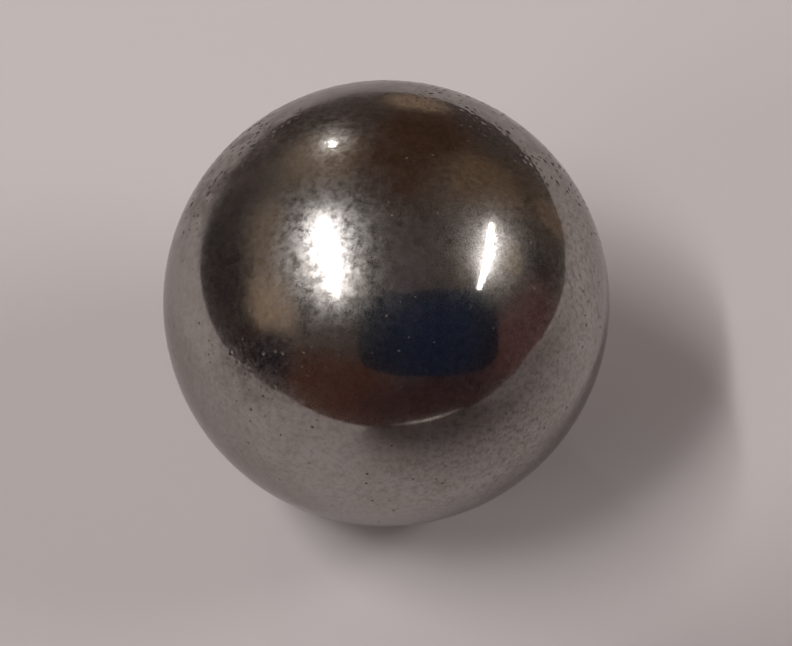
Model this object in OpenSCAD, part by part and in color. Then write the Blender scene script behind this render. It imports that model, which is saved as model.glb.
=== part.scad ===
// Loose steel ball, one solid piece, polished and worn bright.
// The origin is the ball's centre and +Z is up.

/* [Ball] */
// Diameter of the ball in millimetres, nominally one inch
ball_d = 25.4; // [3:0.1:100]

/* [Hidden] */
// Warm grey of worn polished steel
steel_colour = "#8F8680";

// Sides of the preview's circles
$fn = 180;

// The ball is solid right through, with no bore, seam or flat
module ball() {
    color(steel_colour) sphere(d = ball_d);
}

ball();
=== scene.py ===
"""A worn steel ball: a polished skin with fine pits and dings, on a pale sheet under strip lamps.

Everything is in metres. The ball's centre is the origin, +Z is up, and the camera looks along +Y and down.
"""

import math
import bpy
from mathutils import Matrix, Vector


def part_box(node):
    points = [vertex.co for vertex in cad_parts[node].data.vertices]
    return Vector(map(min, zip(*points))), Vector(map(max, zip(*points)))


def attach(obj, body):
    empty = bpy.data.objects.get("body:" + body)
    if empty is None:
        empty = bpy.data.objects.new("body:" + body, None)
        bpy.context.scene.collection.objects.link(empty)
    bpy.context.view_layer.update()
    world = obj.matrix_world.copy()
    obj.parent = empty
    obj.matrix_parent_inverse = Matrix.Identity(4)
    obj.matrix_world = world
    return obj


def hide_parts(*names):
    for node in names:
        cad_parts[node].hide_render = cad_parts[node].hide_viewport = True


bl_info = {
    "name": "Worn steel ball",
    "version": (1, 0, 0),
    "blender": (4, 5, 0),
    "location": "3D View > Sidebar > Steel Ball",
    "description": "Makes a worn, pitted steel ball and the stage that it is shown on",
    "category": "Object",
}

from functools import partial

import bpy
from mathutils import Matrix, Vector

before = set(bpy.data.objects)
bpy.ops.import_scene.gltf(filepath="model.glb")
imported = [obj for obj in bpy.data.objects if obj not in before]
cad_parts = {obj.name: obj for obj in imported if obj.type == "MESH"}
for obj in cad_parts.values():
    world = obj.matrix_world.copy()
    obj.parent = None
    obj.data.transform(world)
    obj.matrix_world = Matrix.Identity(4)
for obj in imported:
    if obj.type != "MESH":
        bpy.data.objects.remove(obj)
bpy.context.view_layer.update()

# The solid's mesh has facets, so its least width keeps the skin inside it
BALL_LOW, BALL_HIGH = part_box("ball")
BALL_RADIUS = min(BALL_HIGH - BALL_LOW) / 2
MM = 0.001

# The mesh attribute that marks the pits: 1 from the rim inwards, 0 on the sphere
PIT_MARK = "pit"

# The value that Blender's noise varies about
NOISE_MIDDLE = 0.5

# The photograph's frame and the ball's outline in it, in pixels
FRAME_WIDTH = 792
FRAME_HEIGHT = 646
OUTLINE_X = 386.5
OUTLINE_Y = 303.4
OUTLINE_RADIUS = 223.3

# Worn places, thick with larger and deeper pits: the direction from the ball's centre, the angles off it
# where the wear starts and where it is full, in degrees, and its strength
WORN_PLACES = (
    ((0.60, 0.64, 0.48), 42, 26, 1.0),
    ((-0.66, 0.55, 0.50), 37, 22, 1.0),
    ((-0.56, -0.66, 0.50), 17, 5, 0.3),
)

# Soft spots in the steel's finish: the direction from the ball's centre, the reach and the strength
SCUFFED_SPOTS = (
    ((-0.34, -0.27, 0.90), 8.5 * MM, 1.0),
    ((-0.244, 0.177, 0.953), 5.0 * MM, 1.0),
    ((-0.56, -0.74, 0.37), 4.5 * MM, 1.0),
)
SMEARED_SPOTS = (
    ((-0.60, 0.04, 0.80), 5.5 * MM, 1.0),
    ((-0.17, 0.44, 0.88), 2.8 * MM, 1.0),
)
SPECKLED_SPOTS = (
    ((0.80, -0.15, 0.55), 10 * MM, 1.0),
    ((0.60, -0.79, 0.10), 9 * MM, 1.0),
)
SMUDGED_SPOTS = (
    ((-0.73, 0.34, 0.59), 7.5 * MM, 1.0),
    ((0.05, 0.83, 0.55), 7.5 * MM, 1.0),
    ((0.68, 0.58, 0.45), 7.5 * MM, 0.9),
    ((-0.59, -0.68, 0.43), 3.0 * MM, 0.6),
)

# Soft patches of the dark studio: azimuth, elevation, half width and half height in degrees, and colour
STUDIO_PATCHES = (
    (-88, 4, 62, 21, "#342B2A"),
    (-40, 3, 20, 10, "#5E5450"),
    (-78, 31, 26, 13, "#7E6C5A"),
    (-110, 23, 20, 16, "#AA9580"),
    (-29, 36, 20, 26, "#85735F"),
    (15, 42, 27, 48, "#4A3326"),
    (50, 30, 22, 48, "#5A4C40"),
    (49, 33, 20, 22, "#705A46"),
    (7, 0, 10, 12, "#A08874"),
    (58, 0, 9, 12, "#7A6656"),
    (82, 11, 10, 11, "#2A2423"),
    (94, 40, 36, 19, "#62574C"),
    (110, 4, 32, 22, "#604240"),
    (-157, 4, 38, 28, "#533329"),
    (160, -1, 44, 20, "#3E2929"),
    (155, 64, 16, 12, "#5A5051"),
    (88, 27, 10, 9, "#8E7E68"),
    (-123, 6, 12, 17, "#26232A"),
    (-54, -7, 24, 9, "#1E1716"),
)

# Strip lamps, of which the left one is in two parts: name, the middle's X and Y, the length and the width
# in lamp heights, and the radiance
STRIP_LAMPS = (
    ("left_strip", -0.545, -0.135, 0.66, 0.062, 57),
    ("left_tail", -0.535, -0.430, 0.46, 0.045, 57),
    ("right_strip", 1.2, -0.135, 1.05, 0.045, 98),
    ("far_strip", -0.60, 1.52, 0.050, 0.035, 340),
)


def linear(hex_colour):
    """The linear colour of an sRGB hex value such as #8F8680."""
    digits = hex_colour.lstrip("#")
    steps = [int(digits[i:i + 2], 16) / 255 for i in (0, 2, 4)]
    return [s / 12.92 if s <= 0.04045 else ((s + 0.055) / 1.055) ** 2.4 for s in steps]


def add(tree, kind, feeds=None, **settings):
    """Adds a node to a tree, sets its settings and feeds its inputs, named or numbered.

    A feed is a value, a node, whose first live output is linked, or a node and its output's name.
    """
    node = tree.nodes.new(kind)
    for name, value in settings.items():
        setattr(node, name, value)
    for key, feed in (feeds or {}).items():
        live = [s for s in node.inputs if s.enabled]
        target = live[key] if isinstance(key, int) else next(s for s in live if s.name == key)
        if isinstance(feed, bpy.types.Node):
            tree.links.new(next(s for s in feed.outputs if s.enabled), target)
        elif isinstance(feed, tuple) and isinstance(feed[0], bpy.types.Node):
            source, output = feed
            tree.links.new(next(s for s in source.outputs if s.enabled and s.name == output), target)
        else:
            target.default_value = feed
    return node


class BallSizes(bpy.types.PropertyGroup):
    """Sizes of the ball's skin, its pits and its dings."""

    radius: bpy.props.FloatProperty(
        name="Radius", description="Radius of the ball",
        default=BALL_RADIUS, unit="LENGTH",
    )
    face_levels: bpy.props.IntProperty(
        name="Face levels", description="Splits of the icosphere behind the skin's faces",
        default=6,
    )
    pit_share: bpy.props.FloatProperty(
        name="Pit share", description="Share of the skin's faces with a pit, before clumps and wear",
        default=0.155, subtype="FACTOR",
    )
    pit_least: bpy.props.FloatProperty(
        name="Least pit", description="Radius of the smallest pit",
        default=0.02 * MM, unit="LENGTH",
    )
    pit_most: bpy.props.FloatProperty(
        name="Largest pit", description="Radius of the largest pit, before wear",
        default=0.08 * MM, unit="LENGTH",
    )
    pit_depth: bpy.props.FloatProperty(
        name="Pit depth", description="Depth of a pit for each unit of its radius, before wear",
        default=0.13,
    )
    pit_clump: bpy.props.FloatProperty(
        name="Pit clumps", description="Width of the clumps that pits gather in",
        default=3.0 * MM, unit="LENGTH",
    )
    ding_count: bpy.props.IntProperty(
        name="Dings", description="Shallow knocks in the skin",
        default=90,
    )
    ding_radius: bpy.props.FloatProperty(
        name="Ding radius", description="Radius of the largest ding",
        default=1.0 * MM, unit="LENGTH",
    )
    ding_depth: bpy.props.FloatProperty(
        name="Ding depth", description="Depth of a ding for each unit of its radius",
        default=0.007,
    )
    seed: bpy.props.IntProperty(
        name="Seed", description="Seed of the pits and dings",
        default=55,
    )


class BallColours(bpy.types.PropertyGroup):
    """Colours of the ball's steel."""

    steel: bpy.props.FloatVectorProperty(
        name="Steel", description="Polished steel",
        default=linear("#B0ABA8"), subtype="COLOR",
    )
    tarnish: bpy.props.FloatVectorProperty(
        name="Tarnish", description="Steel under a thin brown film",
        default=linear("#ABA5A0"), subtype="COLOR",
    )
    grime: bpy.props.FloatVectorProperty(
        name="Grime", description="Dull dirt in the pits, specks and smudges",
        default=linear("#665F5A"), subtype="COLOR",
    )


class StageSizes(bpy.types.PropertyGroup):
    """Sizes and places of the floor, the lamps and the camera."""

    sheet_width: bpy.props.FloatProperty(
        name="Sheet width", description="Width of the pale sheet",
        default=290 * MM, unit="LENGTH",
    )
    sheet_depth: bpy.props.FloatProperty(
        name="Sheet depth", description="Depth of the pale sheet",
        default=225 * MM, unit="LENGTH",
    )
    lamp_height: bpy.props.FloatProperty(
        name="Lamp height", description="Height of the strip lamps over the sheet",
        default=1.6, unit="LENGTH",
    )
    camera_elevation: bpy.props.FloatProperty(
        name="Camera elevation", description="Angle of the camera over the horizon",
        default=math.radians(52.3), subtype="ANGLE",
    )
    camera_radii: bpy.props.FloatProperty(
        name="Camera distance", description="Distance from the ball's centre, in radii of the ball",
        default=12.0,
    )


class StageColours(bpy.types.PropertyGroup):
    """Colours of the floor and of the dark studio that the ball mirrors."""

    sheet: bpy.props.FloatVectorProperty(
        name="Sheet", description="Pale floor sheet",
        default=linear("#BDB5B4"), subtype="COLOR",
    )
    surround: bpy.props.FloatVectorProperty(
        name="Surround", description="Dark studio around the sheet",
        default=linear("#4E4541"), subtype="COLOR",
    )
    # Painted light: the flag card glows with these colours of its own rather than being lit
    flag: bpy.props.FloatVectorProperty(
        name="Flag", description="Dark flag beside the camera",
        default=linear("#1B1D24"), subtype="COLOR",
    )
    flag_glint: bpy.props.FloatVectorProperty(
        name="Flag glint", description="Bluer middle of the flag",
        default=linear("#182640"), subtype="COLOR",
    )
    # Painted light: the strip card glows with these two colours in place of lit paper, bright in the
    # middle and dim at the ends
    strip: bpy.props.FloatVectorProperty(
        name="Strip", description="Bright middle of the pale strip",
        default=linear("#F0E8E0"), subtype="COLOR",
    )
    strip_ends: bpy.props.FloatVectorProperty(
        name="Strip ends", description="Dim ends of the pale strip",
        default=linear("#3A2626"), subtype="COLOR",
    )


def round_faces(node, given, outward):
    """The skin's faces: the dual of an icosphere, mostly hexagons, pushed out to the sphere."""
    ico = node("GeometryNodeMeshIcoSphere",
               {"Radius": (given, "Radius"), "Subdivisions": (given, "Face levels")})
    faces = node("GeometryNodeDualMesh", {"Mesh": (ico, "Mesh")})
    on_sphere = node("ShaderNodeVectorMath", {"Vector": outward, "Scale": (given, "Radius")},
                     operation="SCALE")
    return node("GeometryNodeSetPosition", {"Geometry": faces, "Position": on_sphere})


def dinged(node, given, skin, place, outward, size_draw):
    """The skin with its dings: smooth shallow bowls round scattered points."""
    least_share = 0.35
    square = node("ShaderNodeMath", {0: (given, "Radius"), 1: 2.0}, operation="POWER")
    area = node("ShaderNodeMath", {0: square, 1: 4 * math.pi}, operation="MULTIPLY")
    density = node("ShaderNodeMath", {0: (given, "Dings"), 1: area}, operation="DIVIDE")
    scatter = node("GeometryNodeDistributePointsOnFaces",
                   {"Mesh": skin, "Density": density, "Seed": (given, "Seed")})
    points = (scatter, "Points")
    share = node("ShaderNodeMapRange", {"Value": size_draw, "To Min": least_share, "To Max": 1.0})
    radius = node("ShaderNodeMath", {0: (given, "Ding radius"), 1: share}, operation="MULTIPLY")
    nearest = node("GeometryNodeSampleNearest", {"Geometry": points, "Sample Position": place})
    reach = node("GeometryNodeSampleIndex", {"Geometry": points, "Value": radius, "Index": nearest})
    middle = node("GeometryNodeSampleIndex", {"Geometry": points, "Value": place, "Index": nearest},
                  data_type="FLOAT_VECTOR")
    gap = node("ShaderNodeVectorMath", {0: place, 1: middle}, operation="DISTANCE")
    way_out = node("ShaderNodeMath", {0: (gap, "Value"), 1: reach}, operation="DIVIDE")
    bowl = node("ShaderNodeMapRange", {"Value": way_out, "To Min": 1.0, "To Max": 0.0},
                interpolation_type="SMOOTHERSTEP")
    deepest = node("ShaderNodeMath", {0: reach, 1: (given, "Ding depth")}, operation="MULTIPLY")
    drop = node("ShaderNodeMath", {0: bowl, 1: deepest}, operation="MULTIPLY")
    height = node("ShaderNodeMath", {0: (given, "Radius"), 1: drop}, operation="SUBTRACT")
    target = node("ShaderNodeVectorMath", {"Vector": outward, "Scale": height}, operation="SCALE")
    return node("GeometryNodeSetPosition", {"Geometry": skin, "Position": target})


def wear_of_skin(node, outward):
    """How worn the skin is, from 0 to 1 in the middle of the worst places."""
    worn = 0.0
    for direction, outer, inner, strength in WORN_PLACES:
        facing = node("ShaderNodeVectorMath", {0: outward, 1: Vector(direction).normalized()},
                      operation="DOT_PRODUCT")
        near = node("ShaderNodeMapRange",
                    {"Value": (facing, "Value"), "From Min": math.cos(math.radians(outer)),
                     "From Max": math.cos(math.radians(inner)), "To Max": strength})
        worn = node("ShaderNodeMath", {0: worn, 1: near}, operation="MAXIMUM")
    return worn


def pit_odds(node, given, place, worn):
    """How likely a face is to have a pit: more so in a noise's clumps and where the skin is worn."""
    clump_edge = 0.38
    clump_core = 0.66
    between_clumps = 0.2
    in_clumps = 2.4
    more_when_worn = 5.0
    most_odds = 0.55
    clump_scale = node("ShaderNodeMath", {0: 1.0, 1: (given, "Pit clumps")}, operation="DIVIDE")
    clumps = node("ShaderNodeTexNoise", {"Vector": place, "Scale": clump_scale, "Detail": 2.0})
    thick = node("ShaderNodeMapRange",
                 {"Value": clumps, "From Min": clump_edge, "From Max": clump_core,
                  "To Min": between_clumps, "To Max": in_clumps})
    more = node("ShaderNodeMath", {0: worn, 1: more_when_worn, 2: 1.0}, operation="MULTIPLY_ADD")
    thick = node("ShaderNodeMath", {0: thick, 1: more}, operation="MULTIPLY")
    odds = node("ShaderNodeMath", {0: thick, 1: (given, "Pit share")}, operation="MULTIPLY")
    return node("ShaderNodeMath", {0: odds, 1: most_odds}, operation="MINIMUM")


def pit_facts(node, given, outward, worn, first, wander, second):
    """What each face's pit is like: the name of each fact, its kind of value and its value.

    Most pits are small. They are larger and deeper where the skin is worn.
    """
    small_bias = 2.5
    larger_when_worn = 1.5
    deeper_when_worn = 3.0
    shallowest = 0.4
    deepest = 1.2
    slimmest = 0.3
    widest = 0.72
    most_leeway = 0.5
    rag_share = 0.08

    # Radius, how far the rim is ragged, and depth
    size_draw = node("ShaderNodeMath", {0: (first, "Y"), 1: small_bias}, operation="POWER")
    radius = node("ShaderNodeMapRange",
                  {"Value": size_draw, "To Min": (given, "Least pit"), "To Max": (given, "Largest pit")})
    larger = node("ShaderNodeMath", {0: worn, 1: larger_when_worn, 2: 1.0}, operation="MULTIPLY_ADD")
    radius = node("ShaderNodeMath", {0: radius, 1: larger}, operation="MULTIPLY")
    rag = node("ShaderNodeMath", {0: radius, 1: rag_share}, operation="MULTIPLY")
    deeper = node("ShaderNodeMath", {0: worn, 1: deeper_when_worn, 2: 1.0}, operation="MULTIPLY_ADD")
    steep = node("ShaderNodeMapRange", {"Value": (first, "Z"), "To Min": shallowest, "To Max": deepest})
    steep = node("ShaderNodeMath", {0: steep, 1: deeper}, operation="MULTIPLY")
    steep = node("ShaderNodeMath", {0: steep, 1: (given, "Pit depth")}, operation="MULTIPLY")
    depth = node("ShaderNodeMath", {0: radius, 1: steep}, operation="MULTIPLY")

    # Width as a share of the face's, and a shift within the leeway that it leaves in the face
    face_area = node("GeometryNodeInputMeshFaceArea")
    round_area = node("ShaderNodeMath", {0: face_area, 1: math.pi}, operation="DIVIDE")
    face_radius = node("ShaderNodeMath", {0: round_area}, operation="SQRT")
    width = node("ShaderNodeMath", {0: radius, 1: face_radius}, operation="DIVIDE")
    width = node("ShaderNodeMath", {0: width, 1: widest}, operation="MINIMUM")
    leeway = node("ShaderNodeMapRange",
                  {"Value": width, "From Max": widest, "To Min": most_leeway, "To Max": 0.0})
    leeway = node("ShaderNodeMath", {0: leeway, 1: face_radius}, operation="MULTIPLY")
    shift = node("ShaderNodeVectorMath", {"Vector": wander, "Scale": leeway}, operation="SCALE")

    # Slimness, and the lie of the slim side along the surface
    slim = node("ShaderNodeMapRange", {"Value": (second, "Y"), "To Min": slimmest, "To Max": 1.0})
    across = node("ShaderNodeVectorMath", {0: wander, 1: outward}, operation="CROSS_PRODUCT")
    lie = node("ShaderNodeVectorMath", {0: across}, operation="NORMALIZE")
    return (
        ("pit_width", "FLOAT", width),
        ("pit_depth", "FLOAT", depth),
        ("pit_slim", "FLOAT", slim),
        ("pit_rag", "FLOAT", rag),
        ("pit_lie", "FLOAT_VECTOR", lie),
        ("pit_shift", "FLOAT_VECTOR", shift),
    )


def with_pits(node, given, skin, outward, fact, ragged):
    """The skin with its pits, each a face narrowed in steps to a skirt, a rim, a wall and a floor."""
    skirt_over_rim = 1.25
    rim_drop = 0.10
    wall_over_rim = 0.70
    wall_drop = 0.66
    floor_over_wall = 0.5
    floor_drop = 1.0

    def narrowed(mesh, selection, scale):
        """Splits each selected face off into a smaller one inside it. Returns the mesh and those faces."""
        split = node("GeometryNodeExtrudeMesh",
                     {"Mesh": mesh, "Selection": selection, "Offset Scale": 0.0, "Individual": True},
                     mode="FACES")
        top = (split, "Top")
        smaller = node("GeometryNodeScaleElements",
                       {"Geometry": split, "Selection": top, "Scale": scale}, domain="FACE")
        return smaller, top

    def sunk(mesh, selection, share_of_depth):
        """Puts the selected faces' corners at a share of the pit's depth below the sphere."""
        drop = node("ShaderNodeMath", {0: fact["pit_depth"], 1: share_of_depth}, operation="MULTIPLY")
        height = node("ShaderNodeMath", {0: (given, "Radius"), 1: drop}, operation="SUBTRACT")
        target = node("ShaderNodeVectorMath", {"Vector": outward, "Scale": height}, operation="SCALE")
        return node("GeometryNodeSetPosition",
                    {"Geometry": mesh, "Selection": selection, "Position": target})

    # Skirt on the sphere, slimmed along its lie and shifted in its face
    skirt_width = node("ShaderNodeMath", {0: fact["pit_width"], 1: skirt_over_rim}, operation="MULTIPLY")
    skin, top = narrowed(skin, fact["pit_here"], skirt_width)
    skin = node("GeometryNodeScaleElements",
                {"Geometry": skin, "Selection": top, "Scale": fact["pit_slim"], "Axis": fact["pit_lie"]},
                domain="FACE", scale_mode="SINGLE_AXIS")
    skin = node("GeometryNodeSetPosition",
                {"Geometry": skin, "Selection": top, "Offset": fact["pit_shift"]})
    skin = sunk(skin, top, 0.0)

    # Ragged rim, from which the pit is marked inwards
    skin, top = narrowed(skin, top, 1 / skirt_over_rim)
    rag = node("ShaderNodeVectorMath", {"Vector": ragged, "Scale": fact["pit_rag"]}, operation="SCALE")
    skin = node("GeometryNodeSetPosition", {"Geometry": skin, "Selection": top, "Offset": rag})
    skin = sunk(skin, top, rim_drop)
    skin = node("GeometryNodeStoreNamedAttribute",
                {"Geometry": skin, "Selection": top, "Name": PIT_MARK, "Value": 1.0},
                data_type="FLOAT", domain="POINT")

    # Wall and floor
    for scale, drop in ((wall_over_rim, wall_drop), (floor_over_wall, floor_drop)):
        skin, top = narrowed(skin, top, scale)
        skin = sunk(skin, top, drop)
    return skin


def pitted_skin_tree(sizes):
    """The node tree of the ball's skin: round faces, some sunk to a pit, and a few shallow dings."""
    tree = bpy.data.node_groups.new("pitted_skin", "GeometryNodeTree")
    tree.is_modifier = True
    for key in BallSizes.__annotations__:
        size = sizes.bl_rna.properties[key]
        kind = "NodeSocketInt" if size.type == "INT" else "NodeSocketFloat"
        tree.interface.new_socket(name=size.name, in_out="INPUT", socket_type=kind)
    tree.interface.new_socket(name="Steel", in_out="INPUT", socket_type="NodeSocketMaterial")
    tree.interface.new_socket(name="Mesh", in_out="OUTPUT", socket_type="NodeSocketGeometry")
    node = partial(add, tree)
    given = node("NodeGroupInput")
    place = node("GeometryNodeInputPosition")
    outward = node("ShaderNodeVectorMath", {0: place}, operation="NORMALIZE")

    # Random draws: two for each face, a third for each face and each ding, and one for a rim's corners
    draws = []
    for step, low in enumerate((0.0, -1.0, 0.0, -1.0)):
        seed = node("ShaderNodeMath", {0: (given, "Seed"), 1: step}, operation="ADD")
        draw = node("FunctionNodeRandomValue",
                    {"Min": (low,) * 3, "Max": (1.0,) * 3, "Seed": seed}, data_type="FLOAT_VECTOR")
        draws.append(draw)
    first, wander, second, ragged = draws
    first = node("ShaderNodeSeparateXYZ", {"Vector": first})
    second = node("ShaderNodeSeparateXYZ", {"Vector": second})

    # Facts are stored on each face before it is narrowed, which moves its corners
    skin = round_faces(node, given, outward)
    skin = dinged(node, given, skin, place, outward, (second, "X"))
    worn = wear_of_skin(node, outward)
    odds = pit_odds(node, given, place, worn)
    pitted = node("ShaderNodeMath", {0: (first, "X"), 1: odds}, operation="LESS_THAN")
    facts = pit_facts(node, given, outward, worn, first, wander, second)
    fact = {}
    for name, kind, value in (*facts, ("pit_here", "BOOLEAN", pitted)):
        skin = node("GeometryNodeStoreNamedAttribute",
                    {"Geometry": skin, "Name": name, "Value": value}, data_type=kind, domain="FACE")
        fact[name] = node("GeometryNodeInputNamedAttribute", {"Name": name}, data_type=kind)
    skin = with_pits(node, given, skin, outward, fact, ragged)

    # Plain smooth mesh with the steel on it
    clean = node("GeometryNodeRemoveAttribute", {"Geometry": skin, "Name": "pit_*"},
                 pattern_mode="WILDCARD")
    smooth = node("GeometryNodeSetShadeSmooth", {"Geometry": clean, "Shade Smooth": True})
    real = node("GeometryNodeRealizeInstances", {"Geometry": smooth})
    dressed = node("GeometryNodeSetMaterial", {"Geometry": real, "Material": (given, "Steel")})
    node("NodeGroupOutput", {"Mesh": dressed})
    return tree


def soft_spot(node, place, middle, reach):
    """A pattern that is full at its middle and fades to nothing at its reach."""
    near = node("ShaderNodeMapping", {"Vector": place, "Location": middle, "Scale": (reach,) * 3},
                vector_type="TEXTURE")
    return node("ShaderNodeTexGradient", {"Vector": near}, gradient_type="SPHERICAL"), "Fac"


def strongest_spot(node, place, radius, spots):
    """The strongest of some soft spots at each place on a ball of that radius."""
    strongest = 0.0
    for direction, reach, strength in spots:
        spot = soft_spot(node, place, Vector(direction).normalized() * radius, reach)
        spot = node("ShaderNodeMath", {0: spot, 1: strength}, operation="MULTIPLY")
        strongest = node("ShaderNodeMath", {0: strongest, 1: spot}, operation="MAXIMUM")
    return strongest


def scuffs(node, place, scuffed_side):
    """Grains of lost polish, 1 in a grain, in mottles and patches and thickest on the scuffed side.

    Real grains are a few micrometres wide. They are drawn a few times as coarse, so that they show.
    """
    grain = 0.016 * MM
    mottle = 0.46 * MM
    patch = 2.0 * MM
    least_mottle = 0.12
    patch_share = 0.20
    side_share = 0.105
    most_wear = 0.29
    grain_edge = 0.59
    grain_core = 0.73
    grains = node("ShaderNodeTexNoise", {"Vector": place, "Scale": 1 / grain, "Detail": 0.0})
    mottles = node("ShaderNodeTexNoise",
                   {"Vector": place, "Scale": 1 / mottle, "Detail": 3.0, "Roughness": 0.62})
    patches = node("ShaderNodeTexNoise", {"Vector": place, "Scale": 1 / patch, "Detail": 2.0})
    mottle_gain = node("ShaderNodeMapRange",
                       {"Value": scuffed_side, "To Min": least_mottle, "To Max": 1.0})
    wear = node("ShaderNodeMath", {0: mottles, 1: NOISE_MIDDLE}, operation="SUBTRACT")
    wear = node("ShaderNodeMath", {0: wear, 1: mottle_gain}, operation="MULTIPLY")
    wear = node("ShaderNodeMath", {0: patches, 1: patch_share, 2: wear}, operation="MULTIPLY_ADD")
    wear = node("ShaderNodeMath", {0: scuffed_side, 1: side_share, 2: wear}, operation="MULTIPLY_ADD")
    wear = node("ShaderNodeMath", {0: wear, 1: most_wear}, operation="MINIMUM")
    wear = node("ShaderNodeMath", {0: grains, 1: wear}, operation="ADD")
    return node("ShaderNodeMapRange", {"Value": wear, "From Min": grain_edge, "From Max": grain_core},
                interpolation_type="SMOOTHSTEP")


def polish_roughness(node, scuffed, smear, in_pit):
    """Roughness of the polish, clean or under a smear, of the scuffs and of the pits."""
    clean_polish = 0.07
    smeared_polish = 0.22
    scuff = 0.30
    pit = 0.6
    smear_core = 0.6
    polish = node("ShaderNodeMapRange",
                  {"Value": smear, "From Max": smear_core,
                   "To Min": clean_polish, "To Max": smeared_polish},
                  interpolation_type="SMOOTHSTEP")
    roughness = node("ShaderNodeMapRange", {"Value": scuffed, "To Min": polish, "To Max": scuff})
    return node("ShaderNodeMix", {"Factor": in_pit, "A": roughness, "B": pit}, data_type="FLOAT")


def soiled_colour(node, place, in_pit, radius, colours):
    """Colour of clean steel, a thin tarnish in broad patches, and grime in specks, smudges and pits."""
    # Tarnish on the clean steel
    tarnish_patch = 2.6 * MM
    tarnish_edge = 0.38
    tarnish_core = 0.64
    film = node("ShaderNodeTexNoise", {"Vector": place, "Scale": 1 / tarnish_patch, "Detail": 4.0})
    film = node("ShaderNodeMapRange",
                {"Value": film, "From Min": tarnish_edge, "From Max": tarnish_core},
                interpolation_type="SMOOTHSTEP")
    colour = node("ShaderNodeMix",
                  {"Factor": film, "A": (*colours.steel, 1), "B": (*colours.tarnish, 1)},
                  data_type="RGBA")

    # Specks, thicker in the speckled spots
    speck = 0.32 * MM
    speck_edge = 0.43
    speck_core = 0.77
    most_grime = 0.58
    gain_off_spots = 0.8
    gain_in_spots = 1.6
    specks = node("ShaderNodeTexNoise",
                  {"Vector": place, "Scale": 1 / speck, "Detail": 2.5, "Roughness": 0.75})
    specks = node("ShaderNodeMapRange",
                  {"Value": specks, "From Min": speck_edge, "From Max": speck_core, "To Max": most_grime})
    speckled = strongest_spot(node, place, radius, SPECKLED_SPOTS)
    gain = node("ShaderNodeMapRange",
                {"Value": speckled, "To Min": gain_off_spots, "To Max": gain_in_spots})
    specks = node("ShaderNodeMath", {0: specks, 1: gain}, operation="MULTIPLY")

    # Smudges, in the smudged spots alone
    smudge = 1.2 * MM
    smudge_edge = 0.40
    smudge_core = 0.60
    most_smudge = 0.9
    smudges = node("ShaderNodeTexNoise", {"Vector": place, "Scale": 1 / smudge, "Detail": 3.0})
    smudges = node("ShaderNodeMapRange",
                   {"Value": smudges, "From Min": smudge_edge, "From Max": smudge_core,
                    "To Max": most_smudge},
                   interpolation_type="SMOOTHSTEP")
    smudged = strongest_spot(node, place, radius, SMUDGED_SPOTS)

    # All the grime together
    grime_in_pits = 0.9
    grime = node("ShaderNodeMath", {0: smudges, 1: smudged, 2: specks},
                 operation="MULTIPLY_ADD", use_clamp=True)
    pit_grime = node("ShaderNodeMath", {0: in_pit, 1: grime_in_pits}, operation="MULTIPLY")
    grime = node("ShaderNodeMath", {0: grime, 1: pit_grime}, operation="MAXIMUM")
    return node("ShaderNodeMix", {"Factor": grime, "A": colour, "B": (*colours.grime, 1)},
                data_type="RGBA")


def rolling_relief(node, place, scuffed_side):
    """Relief of a polish that rolls a little, more on the scuffed side."""
    roll = 0.45 * MM
    roll_height = 0.0028 * MM
    least_rise = 0.2
    rolls = node("ShaderNodeTexNoise", {"Vector": place, "Scale": 1 / roll, "Detail": 0.6})
    rise = node("ShaderNodeMapRange", {"Value": scuffed_side, "To Min": least_rise, "To Max": 1.0})
    height = node("ShaderNodeMath", {0: rolls, 1: rise}, operation="MULTIPLY")
    return node("ShaderNodeBump", {"Height": height, "Distance": roll_height})


def worn_polished_steel(radius, colours):
    """Through-hardened bearing steel, ground and polished, then worn by handling.

    To the eye it is a warm grey mirror, dulled grain by grain where fine scuffs have taken the polish off.
    """
    steel = bpy.data.materials.new("worn_polished_bearing_steel")
    steel.use_nodes = True
    tree = steel.node_tree
    tree.nodes.clear()
    node = partial(add, tree)
    place = (node("ShaderNodeTexCoord"), "Object")
    in_pit = (node("ShaderNodeAttribute", attribute_name=PIT_MARK), "Fac")
    scuffed_side = strongest_spot(node, place, radius, SCUFFED_SPOTS)
    smear = strongest_spot(node, place, radius, SMEARED_SPOTS)
    scuffed = scuffs(node, place, scuffed_side)

    # The edge tint keeps the rim as dark as the face, as a scuffed metal's is
    edge_tint = (0.74, 0.74, 0.74, 1)
    surface = node("ShaderNodeBsdfPrincipled",
                   {"Base Color": soiled_colour(node, place, in_pit, radius, colours),
                    "Metallic": 1.0,
                    "Roughness": polish_roughness(node, scuffed, smear, in_pit),
                    "Normal": rolling_relief(node, place, scuffed_side),
                    "Specular Tint": edge_tint})
    node("ShaderNodeOutputMaterial", {"Surface": surface})
    return steel


class STEELBALL_OT_worn_ball(bpy.types.Operator):
    """Make the worn ball in place of its plain solid"""

    bl_idname = "steel_ball.worn_ball"
    bl_label = "Worn ball"

    def execute(self, context):
        sizes = context.scene.ball_sizes
        tree = pitted_skin_tree(sizes)
        ball = bpy.data.objects.new("worn_ball", bpy.data.meshes.new("worn_ball"))
        context.scene.collection.objects.link(ball)
        skin = ball.modifiers.new("pitted_skin", "NODES")
        skin.node_group = tree
        names = {key: sizes.bl_rna.properties[key].name for key in BallSizes.__annotations__}
        values = {name: getattr(sizes, key) for key, name in names.items()}
        values["Steel"] = worn_polished_steel(sizes.radius, context.scene.ball_colours)
        for item in tree.interface.items_tree:
            if item.in_out == "INPUT":
                skin[item.identifier] = values[item.name]
        seen = context.evaluated_depsgraph_get()
        made = bpy.data.meshes.new_from_object(ball.evaluated_get(seen))
        if not made.polygons:
            raise RuntimeError("the skin of the ball came out empty")
        ball.modifiers.remove(skin)
        ball.data = made
        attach(ball, "root")
        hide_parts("ball")
        return {"FINISHED"}


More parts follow.
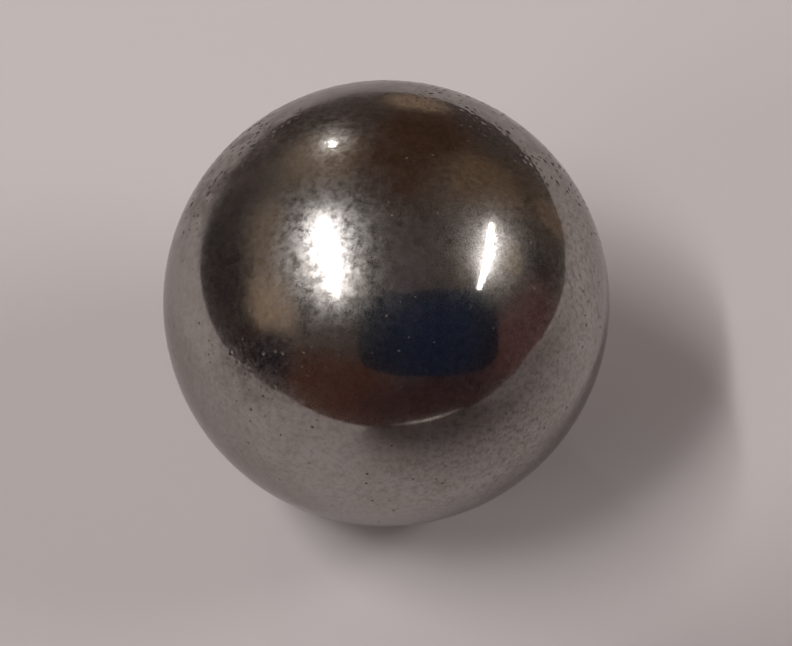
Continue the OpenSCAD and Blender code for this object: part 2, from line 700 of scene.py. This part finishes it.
def towards(azimuth, elevation):
    """Unit vector at an azimuth, clockwise from +Y seen from above, and an elevation, in degrees."""
    a = math.radians(azimuth)
    e = math.radians(elevation)
    return Vector((math.sin(a) * math.cos(e), math.cos(a) * math.cos(e), math.sin(e)))


def upright(direction):
    """Turn of a card, lamp or patch that faces the ball from that direction, with its width level."""
    return direction.to_track_quat("Z", "Y")


def matt_paper(colour):
    """Uncoated paper, plain, with no gloss."""
    matt = 0.9
    paper = bpy.data.materials.new("matt_paper")
    paper.use_nodes = True
    surface = paper.node_tree.nodes["Principled BSDF"]
    surface.inputs["Base Color"].default_value = (*colour, 1)
    surface.inputs["Roughness"].default_value = matt
    return paper


def glowing_cloth(name, colour, glint, middle, reach):
    """Stage cloth that gives off a little colour of its own, and another colour towards its middle."""
    cloth = bpy.data.materials.new(name)
    cloth.use_nodes = True
    tree = cloth.node_tree
    tree.nodes.clear()
    node = partial(add, tree)
    place = (node("ShaderNodeTexCoord"), "Object")
    near = soft_spot(node, place, middle, reach)
    tint = node("ShaderNodeMix", {"Factor": near, "A": (*colour, 1), "B": (*glint, 1)}, data_type="RGBA")
    glow = node("ShaderNodeEmission", {"Color": tint})
    node("ShaderNodeOutputMaterial", {"Surface": glow})
    return cloth


def oblong(width, height):
    """Corners of a flat rectangle round the origin."""
    return [Vector((x * width / 2, y * height / 2, 0)) for x, y in ((-1, -1), (1, -1), (1, 1), (-1, 1))]


def oval(width, height, squareness=2, sides=64):
    """Corners of a flat oval round the origin, an ellipse at a squareness of 2 and boxier above it."""
    turns = [2 * math.pi * i / sides for i in range(sides)]
    bend = 2 / squareness
    across = [math.copysign(abs(math.cos(t)) ** bend, math.cos(t)) for t in turns]
    along = [math.copysign(abs(math.sin(t)) ** bend, math.sin(t)) for t in turns]
    return [Vector((x * width / 2, y * height / 2, 0)) for x, y in zip(across, along)]


def card(name, corners, place, material):
    """A flat stage card with those corners, placed by a matrix."""
    mesh = bpy.data.meshes.new(name)
    mesh.from_pydata([place @ c for c in corners], [], [range(len(corners))])
    mesh.materials.append(material)
    made = bpy.data.objects.new(name, mesh)
    bpy.context.scene.collection.objects.link(made)
    return made


def oval_lamp(name, length, width, centre, radiance):
    """An oval lamp with its length along Y, which shines straight down unless it is turned."""
    lamp = bpy.data.lights.new(name, "AREA")
    lamp.shape = "ELLIPSE"
    lamp.size = width
    lamp.size_y = length
    lamp.energy = radiance * math.pi * length * width
    made = bpy.data.objects.new(name, lamp)
    made.location = centre
    bpy.context.scene.collection.objects.link(made)
    return made


def dark_studio(surround):
    """A dark, warm surround with soft patches of colour, ragged at their edges and mottled all over."""
    ripple_scale = 9.0
    ripple_reach = 0.14
    patch_core = 0.55
    mottle_scale = 28.0
    mottle_edge = 0.3
    mottle_core = 0.7
    darkest = 0.5
    lightest = 1.5
    world = bpy.data.worlds.new("dark_studio")
    world.use_nodes = True
    tree = world.node_tree
    tree.nodes.clear()
    node = partial(add, tree)
    direction = (node("ShaderNodeTexCoord"), "Object")
    ripple = node("ShaderNodeTexNoise", {"Vector": direction, "Scale": ripple_scale, "Detail": 4.0})
    ripple = node("ShaderNodeVectorMath", {0: (ripple, "Color"), 1: (NOISE_MIDDLE,) * 3},
                  operation="SUBTRACT")
    ragged = node("ShaderNodeVectorMath", {0: ripple, 1: (ripple_reach,) * 3, 2: direction},
                  operation="MULTIPLY_ADD")
    colour = (*surround, 1)
    for azimuth, elevation, wide, high, tint in STUDIO_PATCHES:
        out = towards(azimuth, elevation)
        spread = (math.radians(wide), math.radians(high), 1.0)
        turn = upright(out).to_euler()
        near = node("ShaderNodeMapping",
                    {"Vector": ragged, "Location": out, "Rotation": turn, "Scale": spread},
                    vector_type="TEXTURE")
        near = node("ShaderNodeTexGradient", {"Vector": near}, gradient_type="SPHERICAL")
        near = node("ShaderNodeMapRange", {"Value": (near, "Fac"), "From Max": patch_core},
                    interpolation_type="SMOOTHSTEP")
        colour = node("ShaderNodeMix", {"Factor": near, "A": colour, "B": (*linear(tint), 1)},
                      data_type="RGBA")
    mottles = node("ShaderNodeTexNoise",
                   {"Vector": direction, "Scale": mottle_scale, "Detail": 4.0, "Roughness": 0.65})
    mottles = node("ShaderNodeMapRange",
                   {"Value": mottles, "From Min": mottle_edge, "From Max": mottle_core,
                    "To Min": darkest, "To Max": lightest})
    glow = node("ShaderNodeBackground", {"Color": colour, "Strength": mottles})
    node("ShaderNodeOutputWorld", {"Surface": glow})
    return world


def lay_sheet(sizes, colours, floor_z):
    """Lays the pale sheet, off centre under the ball and a little turned."""
    centre = Vector((43 * MM, 28 * MM, floor_z))
    turn = math.radians(3.4)
    place = Matrix.Translation(centre) @ Matrix.Rotation(turn, 4, "Z")
    card("pale_sheet", oblong(sizes.sheet_width, sizes.sheet_depth), place, matt_paper(colours.sheet))


def hang_lamps(height, floor_z):
    """Hangs the strip lamps over the sheet, and a low fill lamp that the ball doesn't mirror."""
    for name, x, y, length, width, radiance in STRIP_LAMPS:
        centre = (x * height, y * height, floor_z + height)
        oval_lamp(name, length * height, width * height, centre, radiance)

    # Fill lamp, round, at the front left
    fill_out = towards(-127, 22)
    fill_distance = 0.75
    fill_size = 0.32 * height
    fill_radiance = 4.5
    fill = oval_lamp("fill_lamp", fill_size, fill_size, fill_out * fill_distance * height, fill_radiance)
    fill.rotation_euler = upright(fill_out).to_euler()
    fill.visible_glossy = False


def hang_cards(radius, colours):
    """Hangs the cards near the ball, which the camera sees past."""
    # Dark flag beside the camera, tilted, with a bluer middle. It is no lamp but glows with these dark
    # colours of its own, as painted light
    flag_out = towards(154.5, 34.5)
    flag_distance = 7.1
    flag_width = 9.4 * radius
    flag_height = 5.2 * radius
    flag_squareness = 6
    flag_tilt = Matrix.Rotation(math.radians(-18), 4, "Z")
    glint_reach = 5.0 * radius
    flag_middle = flag_out * flag_distance * radius
    flag_place = Matrix.Translation(flag_middle) @ upright(flag_out).to_matrix().to_4x4() @ flag_tilt
    cloth = glowing_cloth("glowing_dark_cloth", colours.flag, colours.flag_glint, flag_middle, glint_reach)
    flag = card("dark_flag", oval(flag_width, flag_height, flag_squareness), flag_place, cloth)

    # Pale strip on the floor, beyond the sheet's front edge: a card that glows as painted light for lit
    # paper beyond the shade, bright in its middle and dim at its ends
    strip_middle = Vector((2.6, -8.0, -1.0)) * radius
    strip_width = 5.2 * radius
    strip_depth = 1.1 * radius
    strip_reach = 2.6 * radius
    strip_place = Matrix.Translation(strip_middle)
    cloth = glowing_cloth("painted_light_cloth", colours.strip_ends, colours.strip, strip_middle, strip_reach)
    strip = card("painted_lit_strip", oblong(strip_width, strip_depth), strip_place, cloth)

    # Shade over the front of the sheet, which the ball doesn't mirror
    shade_place = Matrix.Translation(Vector((3.6, -7.0, 4.2)) * radius)
    shade_width = 14.8 * radius
    shade_depth = 11.4 * radius
    shade = card("front_shade", oval(shade_width, shade_depth), shade_place, matt_paper(colours.flag))
    shade.visible_glossy = False
    for unseen in (flag, strip, shade):
        unseen.visible_camera = False


def aim_camera(scene, sizes, radius):
    """Aims the camera so that the ball's outline falls where the photograph has it."""
    distance = sizes.camera_radii * radius
    focal_pixels = OUTLINE_RADIUS / math.tan(math.asin(1 / sizes.camera_radii))
    lens = bpy.data.cameras.new("camera")
    lens.sensor_width = 36
    lens.lens = lens.sensor_width * focal_pixels / FRAME_WIDTH
    lens.clip_start = 0.01
    lens.clip_end = 100
    camera = bpy.data.objects.new("camera", lens)
    scene.collection.objects.link(camera)
    eye = towards(180, math.degrees(sizes.camera_elevation)) * distance
    level = Vector((1, 0, 0))
    up = eye.normalized().cross(level)
    pixel = distance / focal_pixels
    aim = level * (FRAME_WIDTH / 2 - OUTLINE_X) * pixel - up * (FRAME_HEIGHT / 2 - OUTLINE_Y) * pixel
    camera.location = eye
    camera.rotation_mode = "QUATERNION"
    camera.rotation_quaternion = (aim - eye).to_track_quat("-Z", "Y")
    scene.camera = camera


class STEELBALL_OT_stage(bpy.types.Operator):
    """Set the pale sheet, the lamps, the dark studio and the camera"""

    bl_idname = "steel_ball.stage"
    bl_label = "Stage"

    def execute(self, context):
        scene = context.scene
        sizes = scene.stage_sizes
        colours = scene.stage_colours
        radius = scene.ball_sizes.radius
        floor_z = -radius
        scene.view_settings.view_transform = "Standard"
        scene.world = dark_studio(colours.surround)
        lay_sheet(sizes, colours, floor_z)
        hang_lamps(sizes.lamp_height, floor_z)
        hang_cards(radius, colours)
        aim_camera(scene, sizes, radius)
        return {"FINISHED"}


class STEELBALL_PT_panel(bpy.types.Panel):
    """Sizes, colours and steps of the worn steel ball"""

    bl_idname = "STEELBALL_PT_panel"
    bl_label = "Steel Ball"
    bl_space_type = "VIEW_3D"
    bl_region_type = "UI"
    bl_category = "Steel Ball"

    def draw(self, context):
        scene = context.scene
        for group in (scene.ball_sizes, scene.ball_colours):
            for name in group.__annotations__:
                self.layout.prop(group, name)
        self.layout.operator(STEELBALL_OT_worn_ball.bl_idname)
        for group in (scene.stage_sizes, scene.stage_colours):
            for name in group.__annotations__:
                self.layout.prop(group, name)
        self.layout.operator(STEELBALL_OT_stage.bl_idname)


GROUPS = {
    "ball_sizes": BallSizes,
    "ball_colours": BallColours,
    "stage_sizes": StageSizes,
    "stage_colours": StageColours,
}
CLASSES = (*GROUPS.values(), STEELBALL_OT_worn_ball, STEELBALL_OT_stage, STEELBALL_PT_panel)


def register():
    for made in CLASSES:
        bpy.utils.register_class(made)
    for name, group in GROUPS.items():
        setattr(bpy.types.Scene, name, bpy.props.PointerProperty(type=group))


def unregister():
    for name in GROUPS:
        delattr(bpy.types.Scene, name)
    for made in reversed(CLASSES):
        bpy.utils.unregister_class(made)


def main():
    register()
    bpy.ops.steel_ball.stage()
    bpy.ops.steel_ball.worn_ball()


if __name__ == "__main__":
    main()
